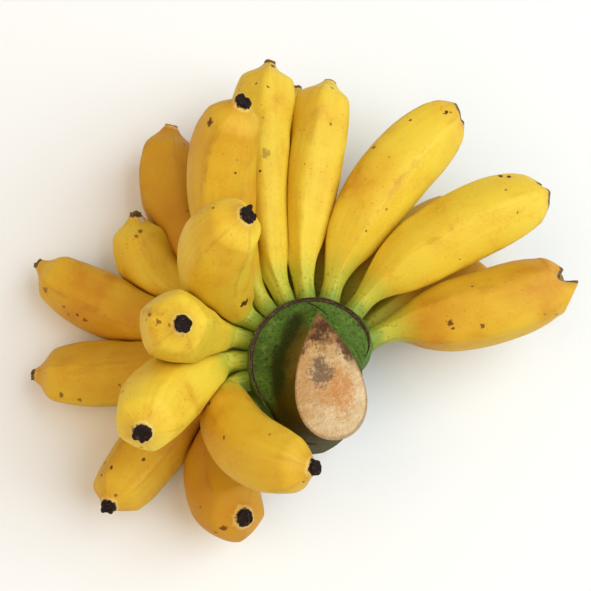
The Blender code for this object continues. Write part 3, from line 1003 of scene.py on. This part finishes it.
def cut_flesh():
    """The two faces where the knife went through the stalk."""
    finish = Finish("crown_cut")
    along, across = finish.number("cut_along"), finish.number("cut_across")
    edge = finish.number("cut_edge")
    broad, blotch = finish.cloud(120, 2.0), finish.cloud(330, 4.0)
    fine = finish.cloud(1500, 4.0)
    fibre = finish.cloud(1.0, 4.0, (along * 9.0).beside(across * 16.0, 0.0))
    strand = finish.cloud(1.0, 3.0, (along * 22.0).beside(across * 60.0, 4.0))
    mealy = finish.cloud(800, 5.0)
    uneven = (blotch - 0.5) * 1.6 + (fibre - 0.5) * 1.0 + (mealy - 0.5) * 1.2

    def patch(at_along, at_across, long, wide, wild=1.0):
        """1 in the middle of an uneven oval patch on the cut, 0 outside it."""
        a = (along - at_along) * (1 / long)
        b = (across - at_across) * (1 / wide)
        return (a * a + b * b + uneven * wild).rise(1.3, 0.1)

    pale = along * 0.9 + across * 0.45 + (broad - 0.5) * 1.2 + (blotch - 0.5) * 1.2 - 0.12
    colour = finish.blend(FLESH, FLESH_PALE, pale)
    colour = colour.cover(FLESH_ORANGE, patch(0.60, 0.12, 0.22, 0.62) * 0.50)
    colour = colour.cover(FLESH_ORANGE, patch(0.66, 0.32, 0.17, 0.34) * 0.50)
    colour = colour.cover(PITH_GREY, patch(0.48, -0.16, 0.15, 0.40, 1.2) * 0.35)
    colour = colour.cover(PITH_GREY, patch(0.48, -0.18, 0.12, 0.32, 2.4) * 0.60)

    # bark round the point and down one side
    bark = (along - 0.25 + uneven * 0.26).rise(0.10, -0.10)
    flank = (edge + uneven * 0.14).rise(0.34, 0.06) * along.rise(0.55, 0.35) * across.rise(0.0, 0.3)
    rubbed_off = (mealy - 0.5).rise(-0.1, 0.1) * 0.35
    colour = colour.cover(BARK_BROWN, bark.larger(flank) * (0.55 + rubbed_off))
    split = patch(0.27, -0.72, 0.07, 0.26).larger(patch(0.13, 0.10, 0.06, 0.40, 1.6))
    split = split.larger(patch(0.30, 0.70, 0.12, 0.32, 1.6)).larger(patch(0.20, -0.1, 0.04, 0.3, 1.6))
    split = split.larger(finish.specks(420, 0.22, (fine - 0.5) * 0.5) * along.rise(0.5, 0.25))
    colour = colour.cover(SPLIT, split * 0.80)

    colour = colour.cover(FLESH_PALE, (strand - 0.5).rise(0.04, 0.22) * along.rise(0.1, 0.3) * 0.22)
    colour = colour.cover(BARK_BROWN, (fine - 0.5).rise(-0.03, -0.20) * 0.30)
    colour = colour.cover(BARK_BROWN, (edge + (fine - 0.5) * 0.06).rise(0.05, 0.0) * 0.5)
    finish.surface.inputs["Specular IOR Level"].default_value = 0.2
    roughness = 0.7 + (fine - 0.5) * 0.3
    height = fine * 0.5 + blotch * 0.8 + strand * 0.4 + mealy * 0.9
    return finish.done(colour, roughness, height, 0.0006)


flesh_finish = cut_flesh()
print("cut finish of", len(flesh_finish.node_tree.nodes), "nodes")

# %% [markdown]
# ## The crown
# One piece stands for the whole crown, because it grew as one. The rows of its grid say which faces are
# skin and which are cut.

# %% Crown
crown = closed_mesh("crown_stalk", crown_grid, crown_numbers)
crown.data.materials.append(skin)
crown.data.materials.append(flesh_finish)
rows, sides = crown_grid.shape[:2]
face_row = np.arange(rows - 1).repeat(sides)
flesh = (face_row < first_wall - 1) | (face_row >= first_over - 1)
flesh = np.concatenate([flesh, np.ones(2 * sides, bool)])
crown.data.polygons.foreach_set("material_index", flesh.astype(np.int32))
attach(crown, "root")
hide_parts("crown")
print("crown of", len(crown.data.polygons), "faces")

# %% [markdown]
# ## Table
# A wide, plain, nearly white table. It carries the shadow that shows where the hand touches it.

# %% Table
FLOOR_HALF = 30.0
PALE_TABLE = (0.84, 0.90, 1.0, 1)
floor_mesh = bpy.data.meshes.new("table")
floor_mesh.from_pydata([(x, y, 0) for x, y in ((-1, -1), (1, -1), (1, 1), (-1, 1))], [], [(0, 1, 2, 3)])
floor = bpy.data.objects.new("table", floor_mesh)
floor.scale = (FLOOR_HALF, FLOOR_HALF, 1)
table = bpy.data.materials.new("table")
table.use_nodes = True
plain = table.node_tree.nodes["Principled BSDF"]
plain.inputs["Base Color"].default_value = PALE_TABLE
plain.inputs["Roughness"].default_value = 0.8
floor_mesh.materials.append(table)
bpy.context.scene.collection.objects.link(floor)
floor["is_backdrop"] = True
print("table", 2 * FLOOR_HALF, "m across")

# %% [markdown]
# ## Light
# Daylight from a window is a little cool and what comes back from a room is warm. So there is one large
# cool lamp at the right, a weaker warm one high on the left, and pale light from all round. That is what
# turns the shaded peel towards orange.

# %% Light
LAMP_DISTANCE = 3.0
DAYLIGHT, ROOM_LIGHT, PALE_AIR = (0.93, 1.0, 0.97), (1.0, 0.64, 0.28), (1.0, 0.94, 0.86, 1)


def soft_lamp(name, way, size, power, colour):
    """A square lamp of this size that shines at the crown from a distance, this way from it."""
    lamp = bpy.data.objects.new(name, bpy.data.lights.new(name, "AREA"))
    lamp.data.size = size
    lamp.data.energy = power
    lamp.data.color = colour
    lamp.location = crown_middle + LAMP_DISTANCE * Vector(way).normalized()
    lamp.rotation_euler = Vector(way).to_track_quat("Z", "Y").to_euler()
    bpy.context.scene.collection.objects.link(lamp)


soft_lamp("window", (0.70, 0.03, 0.72), 3.0, 94.0, DAYLIGHT)
soft_lamp("room", (-0.50, -0.30, 0.81), 4.0, 52.0, ROOM_LIGHT)
world = bpy.data.worlds.new("room")
world.use_nodes = True
air = world.node_tree.nodes["Background"]
air.inputs["Color"].default_value = PALE_AIR
air.inputs["Strength"].default_value = 0.40
bpy.context.scene.world = world
bpy.context.scene.view_settings.view_transform = "Standard"
print("lit by a window and a room")

# %% [markdown]
# ## Measure and finish
# The box round everything that is drawn is printed.

# %% Finish
low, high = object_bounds()
print("visual box", [round(side, 4) for side in high - low])
